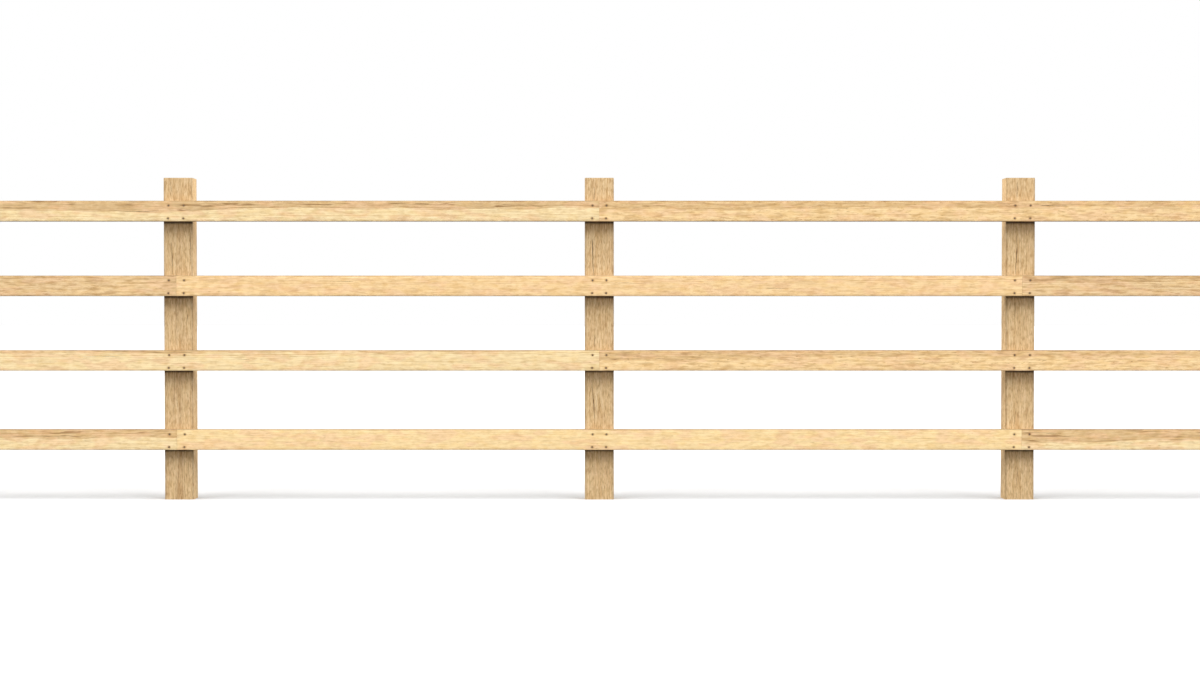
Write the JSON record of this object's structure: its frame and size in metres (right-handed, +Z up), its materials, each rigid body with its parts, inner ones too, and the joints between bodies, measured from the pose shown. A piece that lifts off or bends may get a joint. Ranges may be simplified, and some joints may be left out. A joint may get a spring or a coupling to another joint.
{
  "type": "timber post and rail fence",
  "caption": "Run of timber fence with sawn posts and four face-nailed rails, butt-jointed on alternate posts.",
  "frame": {"origin": "middle of the middle post's foot, at ground level", "axes": "+X along the fence to the right as seen from the rails' side, +Y to the back, away from the rails, +Z up"},
  "size_m": [10.925, 0.113, 1.377],
  "materials": {
    "post_timber": "sawn softwood, tan, unpainted, grain along the post",
    "rail_timber": "sawn softwood, pale peach, unpainted, grain along the rail",
    "nail_steel": "dull dark steel nail heads"
  },
  "bodies": {
    "root": {"post_1": "post_timber", "post_2": "post_timber", "post_3": "post_timber", "post_4": "post_timber", "post_5": "post_timber", "post_6": "post_timber", "post_7": "post_timber", "bottom_rail_1": "rail_timber", "bottom_rail_2": "rail_timber", "bottom_rail_3": "rail_timber", "lower_rail_1": "rail_timber", "lower_rail_2": "rail_timber", "lower_rail_3": "rail_timber", "lower_rail_4": "rail_timber", "upper_rail_1": "rail_timber", "upper_rail_2": "rail_timber", "upper_rail_3": "rail_timber", "top_rail_1": "rail_timber", "top_rail_2": "rail_timber", "top_rail_3": "rail_timber", "top_rail_4": "rail_timber"}
  },
  "joints": []
}
